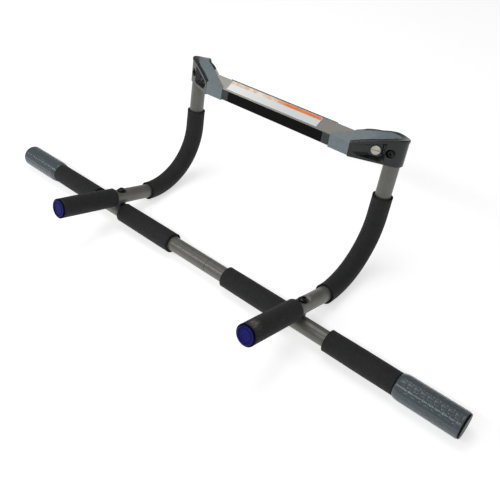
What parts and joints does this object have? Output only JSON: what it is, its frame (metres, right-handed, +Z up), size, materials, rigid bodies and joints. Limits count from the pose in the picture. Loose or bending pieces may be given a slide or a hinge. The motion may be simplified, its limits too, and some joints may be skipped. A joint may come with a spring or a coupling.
{
  "type": "pull up bar",
  "caption": "Doorway pull-up bar: long bar with foam grips and soft ends, two bent arms with handles, and a crossbar head with brackets that hooks over a wall.",
  "frame": {"origin": "middle of the bounding box's floor, with the part standing on the floor on its two bumpers and its two arm sleeves", "axes": "+X along the long bar to the part's right, +Y from the handles to the crossbar head, +Z up"},
  "size_m": [0.9454, 0.3688, 0.2242],
  "materials": {
    "steel_tube": "satin grey-beige powder coat",
    "foam": "matte closed-cell foam",
    "bumper_rubber": "satin moulded rubber with a raised tread",
    "black_plastic": "satin black moulding",
    "blue_plastic": "glossy dark blue",
    "grey_plastic": "satin warm grey moulding",
    "strap_steel": "plain rolled steel",
    "pad_rubber": "soft matte blue-grey",
    "saddle_plastic": "dark blue-violet moulding",
    "black_steel": "blackened steel",
    "zinc_steel": "dull zinc plate"
  },
  "bodies": {
    "root": {"bar_neck_tube": "steel_tube", "bar_socket_tube": "steel_tube", "crossbar_shell": "grey_plastic", "crossbar_strap": "strap_steel", "left_arm_sleeve": "foam", "left_arm_tube": "steel_tube", "left_bar_plug": "black_plastic", "left_bracket": "black_plastic", "left_bracket_bolt": "black_steel", "left_bracket_nut": "zinc_steel", "left_bracket_washer": "zinc_steel", "left_bumper": "bumper_rubber", "left_crossing_bolt": "black_steel", "left_crossing_washer": "black_steel", "left_handle_cap": "blue_plastic", "left_handle_grip": "foam", "left_inner_bar_grip": "foam", "left_outer_bar_grip": "foam", "left_saddle_spacer": "saddle_plastic", "left_strap_nut": "zinc_steel", "left_strap_screw": "black_steel", "left_threaded_insert": "zinc_steel", "left_wall_pad": "pad_rubber", "right_arm_sleeve": "foam", "right_arm_tube": "steel_tube", "right_bar_plug": "black_plastic", "right_bracket": "black_plastic", "right_bracket_bolt": "black_steel", "right_bracket_nut": "zinc_steel", "right_bracket_washer": "zinc_steel", "right_bumper": "bumper_rubber", "right_crossing_bolt": "black_steel", "right_crossing_washer": "black_steel", "right_handle_cap": "blue_plastic", "right_handle_grip": "foam", "right_inner_bar_grip": "foam", "right_outer_bar_grip": "foam", "right_saddle_spacer": "saddle_plastic", "right_strap_nut": "zinc_steel", "right_strap_screw": "zinc_steel", "right_threaded_insert": "zinc_steel", "right_wall_pad": "pad_rubber"}
  },
  "joints": []
}
